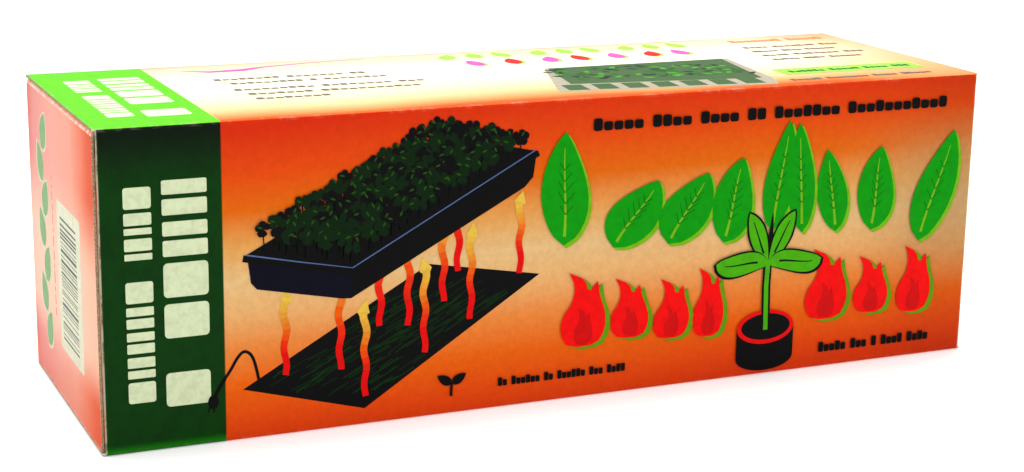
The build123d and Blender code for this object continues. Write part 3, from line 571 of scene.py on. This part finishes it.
def seedling_tray(art):
    """Tray of seedlings floating over the mat, with heat rising into it."""
    # the mat, drawn flat below
    A, B, C, E = (38.7, 14.4), (73.7, 4.8), (126.8, 38.8), (92.9, 44.8)
    art.poly([A, B, C, E], "mat_black", 1)
    rnd = random.Random(21)
    for i in range(150):
        u, v = rnd.uniform(0.03, 0.80), rnd.uniform(0.06, 0.94)
        du = rnd.uniform(0.05, 0.16)
        dv = rnd.uniform(-0.01, 0.04)
        p = []
        for a, b in ((u, v), (u + du, min(0.97, v + dv))):
            p.append(tuple((1 - a) * ((1 - b) * A[q] + b * B[q]) + a * ((1 - b) * E[q] + b * C[q]) for q in (0, 1)))
        art.strip(p, rnd.uniform(0.12, 0.34), "mat_green", 2)
    # the cord and plug drawn at the mat's corner
    art.strip(smooth([(43.4, 15.6), (42.7, 19.5), (41.5, 24.0), (39.2, 25.6), (37.2, 23.6), (35.4, 20.4), (33.6, 18.0), (33.0, 17.0)]), 0.85, "black", 2)
    art.strip([(33.7, 18.1), (32.0, 15.6), (30.9, 13.4)], 1.1, "black", 3)
    art.poly(ellipse(30.4, 11.9, 1.5, 2.0), "black", 3)
    art.strip([(29.5, 10.6), (28.9, 9.2)], 0.45, "black", 3)
    art.strip([(30.7, 10.3), (30.4, 8.9)], 0.45, "black", 3)
    # rising heat
    waves = [
        # x, foot, head, how far up the red-to-yellow scale the visible part gets
        (50.8, 17.2, 41.6, 1.0), (66.6, 17.0, 39.6, 0.55), (73.9, 8.4, 36.6, 1.0), (78.3, 28.4, 44.0, 0.25), (86.7, 27.6, 48.0, 0.4),
        (91.5, 19.2, 47.0, 1.0), (97.1, 33.6, 53.0, 0.6), (101.5, 42.0, 56.5, 0.15), (105.5, 27.6, 55.6, 1.0), (120.5, 39.6, 63.6, 1.0),
    ]
    scale = ["heat0", "heat0a", "heat1", "heat1a", "heat2", "heat2a", "heat3", "heat3a", "heat4", "heat4a", "heat5"]
    for k, (x, z0, z1, reach) in enumerate(waves):
        n = 30
        line, wid, cols = [], [], []
        for i in range(n + 1):
            t = i / n
            z = z0 + (z1 - z0) * t
            line.append((x + 0.62 * math.sin((z - z0) * 0.62 + k * 1.3) * (0.5 + 0.5 * t), z))
            head = reach > 0.9 and t > 0.86
            wid.append(max(0.15, (1 - t) / 0.14 * 4.0) if head else 1.8 + 0.5 * t)
            cols.append(scale[min(10, int(max(0.0, t - 0.22) * 1.4 * reach * 11))])
        art.strip(line, wid, cols[1:], 3 if z0 > 15 else 4)
    # tray: front faces, rim
    Lf, F, R = (39.3, 51.6), (70.2, 45.0), (125.8, 74.6)
    B0 = (Lf[0] + R[0] - F[0] + 1.5, Lf[1] + R[1] - F[1] - 0.2)
    art.poly([(40.6, 50.5), (70.2, 44.0), (69.8, 37.2), (67.0, 37.4), (43.0, 42.3), (41.4, 44.2)], "tray_side", 5)
    art.poly([(70.2, 44.0), (125.0, 73.2), (124.2, 67.4), (121.6, 64.6), (69.8, 37.2)], "tray", 5)
    art.poly([Lf, F, R, B0], "tray", 5)
    inset = [(42.2, 51.9), (70.3, 46.4), (123.0, 74.6), (96.0, 80.4)]
    art.poly(inset, "leaf_dark", 6)
    art.strip([(39.3, 51.2), (54.8, 47.9), (70.8, 44.5)], 1.9, "tray", 6)
    art.strip([(70.2, 44.6), (98.0, 59.4), (125.8, 74.2)], 1.8, "tray", 6)
    art.strip([(40.2, 52.1), (55.0, 48.9), (70.0, 45.9)], [0.45, 0.34, 0.22], "tray_light", 7)
    art.strip([(70.2, 45.8), (97.8, 60.6), (124.9, 75.1)], 0.34, "tray_light", 7)
    # seedlings, back rows first
    rnd = random.Random(3)
    rows, cols = 18, 9
    for i in range(rows - 1, -1, -1):
        for j in range(cols - 1, -1, -1):
            s = (i + 0.5 * (j % 2) * 0.6 + rnd.random() * 0.3) / rows
            t = (j + 0.5 + rnd.random() * 0.3 - 0.15) / cols
            ax, ay = 70.5 + (123.4 - 70.5) * s, 47.0 + (75.0 - 47.0) * s
            x = ax + (43.0 - 70.5) * t
            y = ay + (52.6 - 47.0) * t
            hgt = 3.6 + 1.6 * rnd.random() + 1.4 * t
            lx, ly = x + rnd.uniform(-0.4, 0.4), y + hgt
            level = 8 + (rows - 1 - i) * 0.55 + (cols - 1 - j) * 0.05
            art.strip([(x, y), (lx, ly)], 0.35, "leaf_dark", level)
            tone = "leaf_mid" if rnd.random() < 0.62 else "leaf_dark"
            for a in (18, 90, 162, 250, 290) if rnd.random() < 0.5 else (40, 140, 205, 335):
                a += rnd.uniform(-14, 14)
                size = 2.1 + 0.7 * rnd.random()
                art.poly(leaf(lx, ly, size, size * 0.86, a, 6, 0.0, 1.5, 0.6), tone, level + 0.15)
            if rnd.random() < 0.75:
                a = rnd.choice((20, 60, 120, 160))
                art.poly(leaf(lx, ly + 0.2, 1.7, 0.6, a, 5, 0.0, 1.2, 0.7), "leaf_light", level + 0.3)


def title_shapes(art):
    """In place of the printed slogans: a row of seed leaves and sprouts in two greens,
    and two groups of red flames with green shadows."""
    forms = [
        # foot x, foot y, length, width, angle, bend
        (134.0, 46.5, 33.0, 15.0, 84, 0.10),
        (150.0, 44.5, 23.5, 15.5, 62, -0.16),
        (168.0, 44.0, 24.0, 15.5, 66, -0.14),
        (186.5, 42.8, 26.0, 14.0, 70, 0.12),
        (203.0, 44.8, 34.0, 10.5, 84, -0.04),
        (213.5, 43.6, 34.0, 9.5, 92, 0.03),
        (225.5, 43.0, 26.0, 10.5, 96, 0.05),
        (238.0, 42.4, 26.0, 13.5, 76, 0.14),
        (256.0, 37.4, 36.0, 14.0, 78, -0.10),
    ]
    for i, (x, y, ln, w, a, b) in enumerate(forms):
        art.poly(leaf(x + 1.0, y - 0.9, ln, w, a, 14, b), "title_shade", 2 + 0.2 * (i % 2))
        art.poly(leaf(x, y, ln, w, a, 14, b), "title_green", 3 + 0.2 * (i % 2))
        m = midline(x, y, ln, a, 8, b)
        art.strip(m, [0.9 - 0.08 * k for k in range(len(m))], "title_shade", 4)
        for k in range(2, 7):
            px, py = m[k]
            side = (1, -1)
            for sgn in side:
                ang = math.radians(a + sgn * 38)
                ll = w * 0.30 * (1 - abs(k - 3.5) / 6)
                art.strip([(px, py), (px + ll * math.cos(ang), py + ll * math.sin(ang))], 0.35, "title_deep", 4)

    def flame(cx, y, w, h, lean):
        left = [(-0.30, 0.0), (-0.50, 0.20), (-0.46, 0.42), (-0.24, 0.60), (-0.20, 0.82), (-0.34, 1.0)]
        right = [(0.02, 0.90), (0.10, 0.72), (0.30, 0.86), (0.36, 0.66), (0.50, 0.44), (0.52, 0.22), (0.34, 0.0)]
        # smooth the outline a little
        pts = [(cx + (px + lean * py) * w, y + py * h) for px, py in left + right]
        out = []
        m = len(pts)
        for i in range(m):
            p, q, r = pts[i - 1], pts[i], pts[(i + 1) % m]
            if py_tip(i):
                out.append(q)
                continue
            out.append(((p[0] + 3 * q[0]) / 4, (p[1] + 3 * q[1]) / 4))
            out.append(((r[0] + 3 * q[0]) / 4, (r[1] + 3 * q[1]) / 4))
        return out

    def py_tip(i):
        return i in (5, 8)

    groups = [
        (140.5, 15.6, 14.5, 22.5, 0.04), (156.0, 16.6, 12.5, 18.5, -0.06), (169.5, 15.0, 12.0, 18.5, 0.05), (182.0, 14.2, 10.5, 21.5, 0.04),
        (223.0, 15.4, 15.0, 22.5, 0.03), (239.5, 15.8, 12.5, 18.5, -0.04), (255.0, 14.6, 12.5, 21.5, 0.05),
    ]
    for x, y, w, h, lean in groups:
        art.poly(flame(x + 1.5, y - 0.8, w, h, lean), "shade_green", 2)
        art.poly(flame(x, y, w, h, lean), "red", 3)
        art.poly(flame(x + 0.2, y + 0.6, w * 0.42, h * 0.5, lean), "red_deep", 4)


def potted_sprout(art):
    """A plain seedling in a low round pot."""
    cx, cz = 202.3, 15.1
    art.poly([(cx - 9.9, cz)] + ellipse(cx, 5.6, 9.9, 4.2, 180, 360, 20) + [(cx + 9.9, cz)], "pot", 5)
    art.poly(ellipse(cx, cz, 9.9, 5.3), "pot_rim", 6)
    art.poly(ellipse(cx + 0.1, cz + 0.1, 8.5, 4.1), "soil", 7)
    stem = [(cx, 14.6), (cx - 0.2, 21.0), (cx - 0.4, 28.0), (cx - 0.2, 35.0)]
    art.strip(stem, 2.9, "black", 8)
    art.strip([(cx, 14.2)] + stem, 1.5, "plant", 9)
    foot = (cx - 0.1, 35.0)
    art.poly(leaf(foot[0], foot[1] + 1, 15.0, 1.5, 86, 8), "black", 9.2)
    shapes = [
        # angle, length, width, bend, skew, blunt
        (119, 17.5, 5.6, -0.10, 1.15, 0.75), (58, 18.0, 5.4, 0.06, 1.15, 0.75),
        (157, 17.0, 7.6, 0.34, 1.1, 0.6), (22, 17.4, 7.6, -0.38, 1.1, 0.6),
    ]
    for i, (a, ln, w, b, sk, bl) in enumerate(shapes):
        lv = 9.5 + i * 0.8
        art.poly(leaf(foot[0], foot[1] - 0.3, ln + 0.8, w + 1.3, a, 16, b, sk, bl), "black", lv)
        art.poly(leaf(foot[0], foot[1] - 0.2, ln, w, a, 16, b, sk, bl), "plant", lv + 0.3)
        m = midline(foot[0], foot[1] - 0.2, ln, a, 10, b, 0.22, 0.82)
        art.strip(m, [0.7 - 0.045 * j for j in range(len(m))], "plant_vein", lv + 0.6)
    art.strip([(foot[0] - 0.1, foot[1] - 3), (foot[0], foot[1] + 1.2)], [1.5, 1.3], "plant", 12.6)


def band_marks(art, ink_name, to):
    """Two columns of upright greeked bars on the green band. to(x, y) gives the
    panel's own coordinates."""
    rnd = random.Random(11)
    for x, w, y0, y1, words in ((7.4, 7.4, 14.0, 74.0, (5, 3)), (17.6, 12.2, 12.0, 76.0, (1, 4))):
        total = sum(words) + 1.0 * (len(words) - 1) * 0.7
        unit = (y1 - y0) / total
        y = y0
        for n in words:
            for i in range(n):
                h = unit * 0.84
                # each block is a wide and a narrow stroke, in no letter's shape
                k = rnd.choice((0.30, 0.38, 0.46))
                for p0, p1, inset in ((0.0, k, 0.0), (k + 0.13, 1.0, 0.0)) if rnd.random() < 0.6 else ((0.0, 1.0, 0.0),):
                    a, b = to(x + inset, y + h * p0), to(x + w - inset, y + h * p1)
                    lo = (min(a[0], b[0]), min(a[1], b[1]))
                    art.bar(lo[0], lo[1], abs(b[0] - a[0]), abs(b[1] - a[1]), ink_name, 1, 0.12)
                y += unit
            y += unit * 0.7


def panel_art(name, sign):
    def place(x, z, up):
        return Vector((-sign * (x - L / 2) * MM, sign * (D / 2 + up) * MM, z * MM))

    art = Art(name, place, (0, sign, 0), "carton")
    band_marks(art, "white", lambda x, y: (x, y))
    seedling_tray(art)
    title_shapes(art)
    potted_sprout(art)
    greek(art, 142.5, 263.5, 79.3, 3.6, "black", (5, 4, 4, 2, 7, 11), 1)
    greek(art, 114.0, 155.0, 6.6, 2.6, "black", (2, 6, 2, 6, 3, 4), 1)
    greek(art, 221.5, 262.0, 4.9, 3.2, "black", (5, 3, 1, 4, 4), 1)
    # a small seed-leaf pair, where the printed carton has a certification mark
    art.strip([(99.6, 5.4), (99.8, 9.6)], 0.8, "pot", 1)
    art.poly(leaf(99.8, 9.0, 5.2, 2.8, 148, 8), "pot", 1)
    art.poly(leaf(99.8, 9.0, 5.2, 2.8, 32, 8), "pot", 1)
    return art.done()


panel_art("front_print", -1)
panel_art("back_print", 1)


def top_art():
    def place(x, y, up):
        return Vector(((x - L / 2) * MM, (y - D / 2) * MM, (H + up) * MM))

    art = Art("top_print", place, (0, 0, 1), "carton")
    band_marks(art, "white_top", lambda x, y: (x, y))
    for k, (x0, x1, y, words) in enumerate((
        (49.0, 96.0, 60.0, (8, 7, 2)), (52.0, 100.0, 52.5, (9, 1, 8)), (50.0, 108.0, 42.0, (9, 8, 3)), (52.0, 104.0, 34.5, (7, 11)), (52.0, 74.0, 27.0, (8,)),
    )):
        greek(art, x0, x1, y, 3.2, "grey_print", words, 1)
    # pink swirl at the rear left
    art.strip([(44, 80), (52, 76), (62, 76.5), (70, 80), (84, 83), (104, 85)], [0.4, 2.6, 3.6, 1.6, 1.0, 0.3], "magenta", 1)
    # row of leaves and row of flames, as on the front
    for i in range(9):
        x = 128 + i * 10.5
        art.poly(leaf(x, 74.5, 11, 5.6, 70 + (i % 3) * 14, 8), "pale_green", 1)
    for i in range(7):
        x = 134 + i * 12.0
        art.poly(leaf(x + 0.7, 60.0, 11, 5.4, 92 - (i % 3) * 9, 8), "pale_green", 1)
        art.poly(leaf(x, 60.8, 11, 5.4, 92 - (i % 3) * 9, 8), "red" if i % 2 else "magenta", 2)
    # small picture of a filled tray: pale cell walls in front, planting behind
    art.poly([(137, 11), (205, 3), (209, 13), (214, 50), (150, 50)], "stone", 1)
    art.poly([(146, 22), (206, 14), (212, 50), (151, 50)], "grass", 2)
    for k in range(7):
        x = 141 + k * 9.2
        y = 12.4 - k * 1.0
        art.poly([(x, y), (x + 6.4, y - 0.7), (x + 7.2, y + 8), (x + 1.2, y + 8.7)], "grass", 2)
    rnd = random.Random(100)
    for i in range(110):
        x = 149 + 58 * rnd.random()
        y = 26 + 21 * rnd.random() - 0.08 * (x - 149)
        art.poly(leaf(x, y, 4.0, 1.9, rnd.uniform(0, 180), 5), ("leaf_light", "title_deep", "leaf_mid", "plant")[i % 4], 3)
    # right: heading, lines and a green rule
    greek(art, 232.0, 268.0, 78.0, 4.6, "orange_line", (7, 5), 1)
    for k in range(4):
        greek(art, 230.0 - k, 266.0 - (k % 2) * 6, 66.0 - k * 8.0, 2.8, "grey_print", (5, 4, 6) if k % 2 else (4, 7, 3), 1)
    art.bar(216.0, 16.0, 50.0, 10.0, "pale_green", 1, 0.1)
    greek(art, 219.0, 263.0, 18.8, 3.6, "title_deep", (6, 5, 4, 3), 2)
    greek(art, 212.0, 262.0, 6.0, 3.0, "grey_print", (5, 7, 4, 5), 1)
    return art.done()


top_art()


def end_art(name, side, body):
    """Bar label and upright leaf mark on a closure. y runs from the front edge."""
    sx = -1 if side == "left" else 1

    def place(y, z, up):
        return Vector((sx * (L / 2 + up) * MM, (y - D / 2) * MM, z * MM))

    art = Art(name, place, (sx, 0, 0), body)
    art.bar(20.0, 16.5, 30.5, 43.5, "label", 1, 0.04)
    rnd = random.Random(5)
    z = 20.0
    while z < 56.0:
        w = rnd.choice((0.3, 0.3, 0.6, 0.9))
        art.poly([(25.5, z), (46.5, z), (46.5, z + w), (25.5, z + w)], "label_ink", 2)
        z += w + rnd.choice((0.5, 0.6, 0.9, 1.3))
    # upright row of leaves with a pale edge
    for i in range(7):
        z = 12.0 + i * 9.8
        art.poly(leaf(69.5, z - 0.8, 14.0, 10.4, 62 if i % 2 else 118, 10), "end_pale", 1)
        art.poly(leaf(69.5, z, 12.2, 8.6, 62 if i % 2 else 118, 10), "end_green", 2)
    # one faint line of small print between the two
    z = 24.0
    while z < 66.0:
        w = rnd.uniform(1.4, 3.6)
        art.bar(56.0, z, 1.1, w, "faint", 1, 0.25)
        z += w + 0.9
    return art.done()


end_art("left_end_print", "left", "left_closure_flap")
end_art("right_end_print", "right", "right_closure_flap")


def give(node, mat):
    """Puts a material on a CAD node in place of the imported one."""
    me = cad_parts[node].data
    me.materials.clear()
    me.materials.append(mat)


give("front_panel", front_material("board_print_front", -1))
give("back_panel", front_material("board_print_back", 1))
give("top_panel", top_material())
give("bottom_panel", bottom_material())
give("left_closure", end_material("board_print_left", -1, (-0.8, 0, -0.6)))
give("right_closure", end_material("board_print_right", 1, (0.8, 0, 0.6)))
give("left_front_dust_flap", end_material("board_dust_left_front", -1, (-0.71, -0.71, 0)))
give("left_rear_dust_flap", end_material("board_dust_left_rear", -1, (-0.71, 0.71, 0)))
give("right_front_dust_flap", end_material("board_dust_right_front", 1, (0.71, -0.71, 0)))
give("right_rear_dust_flap", end_material("board_dust_right_rear", 1, (0.71, 0.71, 0)))
give("left_tuck_tongue", tongue_material("board_tongue_left", -1))
give("right_tuck_tongue", tongue_material("board_tongue_right", 1))


def plain_board():
    n = Nodes("board_plain")
    f = n.noise(900, 5, 0.65)
    n.color(n.mix(n.math("MULTIPLY", n.step(f, 0.42, 0.64), 0.35), BOARD_IN, lin(150, 141, 122)))
    n.set(Roughness=0.88, Specular_IOR_Level=0.25)
    n.bump(n.noise(1600, 3, 0.6), 0.3, 0.00006)
    return n.mat


give("glue_flap", plain_board())


# ------------------------------------------------------------------ the mat and its cord
def mat_sheet(name, outer):
    n = Nodes(name)
    f = n.noise(520, 4, 0.6)
    base = n.mix(n.math("MULTIPLY", n.step(f, 0.4, 0.65), 0.5), lin(30, 31, 31), lin(20, 20, 21))
    if outer:
        x = n.pos("X")
        lo = n.math("ABSOLUTE", n.math("SUBTRACT", x, (X0 + 11.0) * MM))
        hi = n.math("ABSOLUTE", n.math("SUBTRACT", x, (XR - 11.0) * MM))
        line = n.step(n.math("MINIMUM", lo, hi), 0.55 * MM, 0.45 * MM)
        base = n.mix(line, base, lin(44, 120, 40))
    # dust picked up by soft film
    base = n.mix(n.math("MULTIPLY", n.step(n.noise(2600, 2, 0.5), 0.66, 0.74), 0.25), base, lin(120, 120, 116))
    n.color(base)
    n.set(Roughness=0.5, Specular_IOR_Level=0.45, Sheen_Weight=0.08)
    fine = n.bump(n.noise(1500, 4, 0.7), 0.55, 0.00012)
    # the heating wire just shows through as ribs along the roll
    n.bump(n.noise(40, 2, 0.5, (0.12, 1.6, 1.6)), 0.4, 0.0012, fine)
    return n.mat


give("mat_top_sheet", mat_sheet("pvc_top", True))
give("mat_bottom_sheet", mat_sheet("pvc_bottom", False))
give("edge_weld", mat_sheet("pvc_weld", False))


def simple(name, rgb, rough, metal=0.0, grain=900, bump=0.15, dist=0.00004, vary=0.25, **kw):
    n = Nodes(name)
    dark = tuple(c * (1 - vary) for c in rgb[:3]) + (1.0,)
    n.color(n.mix(n.step(n.noise(grain * 0.6, 4, 0.65), 0.35, 0.7), rgb, dark))
    n.set(Roughness=rough, Metallic=metal, **kw)
    n.bump(n.noise(grain, 3, 0.6), bump, dist)
    return n.mat


black_plastic = simple("block_plastic", lin(34, 34, 36), 0.48, grain=1800, bump=0.5, dist=0.00005)
plug_plastic = simple("plug_plastic", lin(30, 30, 32), 0.42, grain=1800, bump=0.4, dist=0.00005)
sheath = simple("cord_sheath", lin(26, 26, 27), 0.46, grain=700, bump=0.25, dist=0.00006)
blade = simple("blade_metal", lin(206, 196, 168), 0.28, metal=1.0, grain=1500, bump=0.1, vary=0.12)
paper = simple("leaflet_paper", lin(238, 237, 230), 0.72, grain=1100, bump=0.3, vary=0.04)
give("heat_spreader_foil", simple("foil", lin(214, 214, 216), 0.3, metal=1.0, grain=260, bump=0.6, dist=0.0002))
give("wire_carrier_scrim", simple("scrim", lin(222, 220, 210), 0.9, grain=1400, bump=0.8, dist=0.0002))
give("heater_wire", simple("resistance_wire", lin(160, 158, 156), 0.35, metal=1.0))
give("junction_block_base", black_plastic)
give("junction_block_cover", black_plastic)
give("crimp_sleeves", simple("crimp_metal", lin(205, 196, 160), 0.32, metal=1.0))
give("strain_relief", simple("relief_rubber", lin(28, 28, 29), 0.52, grain=1200, bump=0.35, dist=0.00005))
give("plug_body", plug_plastic)
give("plug_blades", blade)
give("plug_earth_pin", blade)
give("hank_tie", simple("tie_plastic", lin(232, 232, 226), 0.4, grain=500, bump=0.2, vary=0.08))
give("cord_tag", paper)
give("roll_band_left", simple("band_rubber", lin(196, 152, 96), 0.6, grain=600, bump=0.35, dist=0.0001, vary=0.18))
give("roll_band_right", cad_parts["roll_band_left"].data.materials[0])


def leaflet_material():
    n = Nodes("leaflet_print")
    x = n.pos("X")
    y = n.pos("Y")
    row = n.math("FRACT", n.math("MULTIPLY", y, 1 / (3.2 * MM)))
    ink_row = n.math("MULTIPLY", n.step(row, 0.36, 0.42), n.step(row, 0.70, 0.64))
    words = n.step(n.noise(220, 1, 0.2, (1.0, 2.2, 0.0)), 0.41, 0.43)
    inside = n.math("MULTIPLY", n.step(n.math("ABSOLUTE", n.math("SUBTRACT", x, (X0 + 114.3) * MM)), 66 * MM, 65.5 * MM), n.step(n.math("ABSOLUTE", y), 19.5 * MM, 19 * MM))
    col = n.mix(n.math("MULTIPLY", n.math("MULTIPLY", ink_row, words), inside), lin(238, 237, 230), lin(52, 52, 54))
    head = n.math("MULTIPLY", n.step(n.math("ABSOLUTE", n.math("SUBTRACT", x, (X0 + 62) * MM)), 10 * MM, 9.6 * MM), n.step(n.math("ABSOLUTE", y), 17 * MM, 16.6 * MM))
    col = n.mix(head, col, lin(48, 140, 44))
    n.color(col)
    n.set(Roughness=0.68, Specular_IOR_Level=0.3)
    fine = n.bump(n.noise(1100, 3, 0.6), 0.25, 0.00005)
    fold = n.math("ABSOLUTE", n.math("SUBTRACT", x, (X0 + 114.3) * MM))
    n.bump(n.step(fold, 0.5 * MM, 0.0), 0.5, 0.0003, fine)
    return n.mat


give("leaflet", leaflet_material())


def cord_points():
    """The cord: out of the strain relief, round the hank, and into the plug. Each turn
    of the hank lists its own points; two of them drop back on the inner side, so that
    the last turn lies level with the plug."""
    hy, hz, r = -1.1, ZC + 0.25, 15.1
    front, back, inner = hy + r, hy - r, hy - r + 5.3
    row = {k: hz + (k - 3.5) * 5.05 for k in range(1, 7)}
    right, left = 48.4, -48.4          # centres of the end folds
    p, q = 0.268 * r, 0.732 * r

    def fold_right(z):
        return [
            (right + p, front, z), (right + q, hy + q, z), (right + r, hy + p, z),
            (right + r, hy - p, z), (right + q, hy - q, z), (right + p, back, z),
        ]

    def fold_left(z):
        return [
            (left - p, back, z), (left - q, hy - q, z), (left - r, hy - p, z),
            (left - r, hy + p, z), (left - q, hy + q, z), (left - p, front, z),
        ]

    def along_front(z):
        return [(-44, front, z), (-33, front, z), (-17, front + 0.1, z), (1, front, z), (18, front + 0.1, z), (33, front, z), (44, front, z)]

    def rising(z0, z1):
        m = (z0 + z1) / 2
        return [(44, back, z0), (33, back, z0), (17, back, z0), (0, back, m), (-17, back, z1), (-33, back, z1), (-44, back, z1)]

    def dropping(z0, z1):
        m = (z0 + z1) / 2
        return [
            (44, back, z0), (36, back + 0.6, z0), (26, inner - 0.3, z0), (14, inner, z0), (0, inner, m),
            (-14, inner, z1), (-26, inner - 0.3, z1), (-36, back + 0.6, z1), (-44, back, z1),
        ]

    pts = [(-74, 11.545, 19.974), (-69.5, 11.6, 19.95), (-63, 12.3, 19.6), (-55, 13.6, 19.15), (-46, front, row[1])]
    pts += along_front(row[1])[1:] + fold_right(row[1]) + rising(row[1], row[3]) + fold_left(row[3])
    pts += along_front(row[3]) + fold_right(row[3]) + rising(row[3], row[5]) + fold_left(row[5])
    pts += along_front(row[5]) + fold_right(row[5]) + rising(row[5], row[6]) + fold_left(row[6])
    pts += along_front(row[6]) + fold_right(row[6]) + dropping(row[6], row[4]) + fold_left(row[4])
    pts += along_front(row[4]) + fold_right(row[4]) + dropping(row[4], row[2]) + fold_left(row[2])
    z = row[2]
    pts += [(-44, front, z), (-33, front, z), (-17, front + 0.1, z), (1, front, z), (18, front, z), (33, front, z)]
    pts += [(45, 13.1, z), (54.5, 8.1, z), (61.5, 1.7, z), (68.3, -0.6, z), (74, -0.6, z)]
    return pts


def make_cord():
    pts = cord_points()
    cu = bpy.data.curves.new("cord", "CURVE")
    cu.dimensions = "3D"
    sp = cu.splines.new("NURBS")
    sp.points.add(len(pts) - 1)
    for p, (x, y, z) in zip(sp.points, pts):
        p.co = (x * MM, y * MM, z * MM, 1.0)
    sp.order_u = 3
    sp.use_endpoint_u = True
    sp.resolution_u = 6
    cu.bevel_depth = 2.5 * MM
    cu.bevel_resolution = 4
    cu.use_fill_caps = True
    cu.materials.append(sheath)
    o = bpy.data.objects.new("cord", cu)
    bpy.context.scene.collection.objects.link(o)
    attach(o, "mat")
    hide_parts("cord_lead", "cord_hank", "plug_lead")
    # its length, measured on the curve's own line
    bare = cu.copy()
    bare.bevel_depth = 0
    tmp = bpy.data.objects.new("tmp_line", bare)
    me = bpy.data.meshes.new_from_object(tmp)
    v = [p.co.copy() for p in me.vertices]
    length = sum((v[i + 1] - v[i]).length for i in range(len(v) - 1))
    bpy.data.objects.remove(tmp)
    bpy.data.meshes.remove(me)
    bpy.data.curves.remove(bare)
    print("cord length", round(length, 4))
    return o, length


cord, cord_len = make_cord()


# ------------------------------------------------------------------ stage and light
def stage():
    n = Nodes("stage_white")
    n.color(n.mix(n.step(n.noise(3, 2, 0.5), 0.3, 0.7), (0.90, 0.90, 0.90, 1), (0.87, 0.87, 0.87, 1)))
    n.set(Roughness=0.75, Specular_IOR_Level=0.1)
    n.bsdf.inputs["Emission Color"].default_value = (1.0, 1.0, 1.0, 1.0)
    n.bsdf.inputs["Emission Strength"].default_value = 0.16
    bm = bmesh.new()
    rows = []
    prof = [(-3.0, 0.0), (1.6, 0.0)]
    for i in range(1, 13):
        a = math.radians(i * 7.5)
        prof.append((1.6 + 0.8 * math.sin(a), 0.8 - 0.8 * math.cos(a)))
    prof.append((2.4, 3.0))
    for y, z in prof:
        rows.append([bm.verts.new((x, y, z)) for x in (-4.0, 4.0)])
    for a, b in zip(rows, rows[1:]):
        bm.faces.new((a[0], a[1], b[1], b[0]))
    me = bpy.data.meshes.new("backdrop")
    bm.to_mesh(me)
    bm.free()
    for p in me.polygons:
        p.use_smooth = True
    me.materials.append(n.mat)
    o = bpy.data.objects.new("backdrop", me)
    bpy.context.scene.collection.objects.link(o)

    w = bpy.data.worlds.new("world")
    w.use_nodes = True
    bg = w.node_tree.nodes["Background"]
    bg.inputs["Color"].default_value = (1.0, 1.0, 1.0, 1.0)
    bg.inputs["Strength"].default_value = 0.55
    bpy.context.scene.world = w

    def area(name, loc, target, size, power, tint=(1, 1, 1)):
        d = bpy.data.lights.new(name, "AREA")
        d.shape = "RECTANGLE"
        d.size, d.size_y = size
        d.energy = power
        d.color = tint
        ob = bpy.data.objects.new(name, d)
        bpy.context.scene.collection.objects.link(ob)
        v = Vector(target) - Vector(loc)
        ob.rotation_euler = v.to_track_quat("-Z", "Y").to_euler()
        ob.location = loc
        return ob

    area("overhead", (0.05, 0.25, 1.25), (0, 0, 0.05), (1.3, 1.0), 22)
    area("key_left", (-1.05, -0.75, 0.75), (-0.03, 0, 0.04), (0.7, 0.7), 6)
    area("front_fill", (0.5, -1.3, 0.55), (0.03, 0, 0.04), (1.0, 0.6), 4.5)
    sc = bpy.context.scene
    sc.view_settings.view_transform = "Standard"
    sc.view_settings.look = "None"
    sc.view_settings.exposure = 0.0
    sc.view_settings.gamma = 1.0


stage()
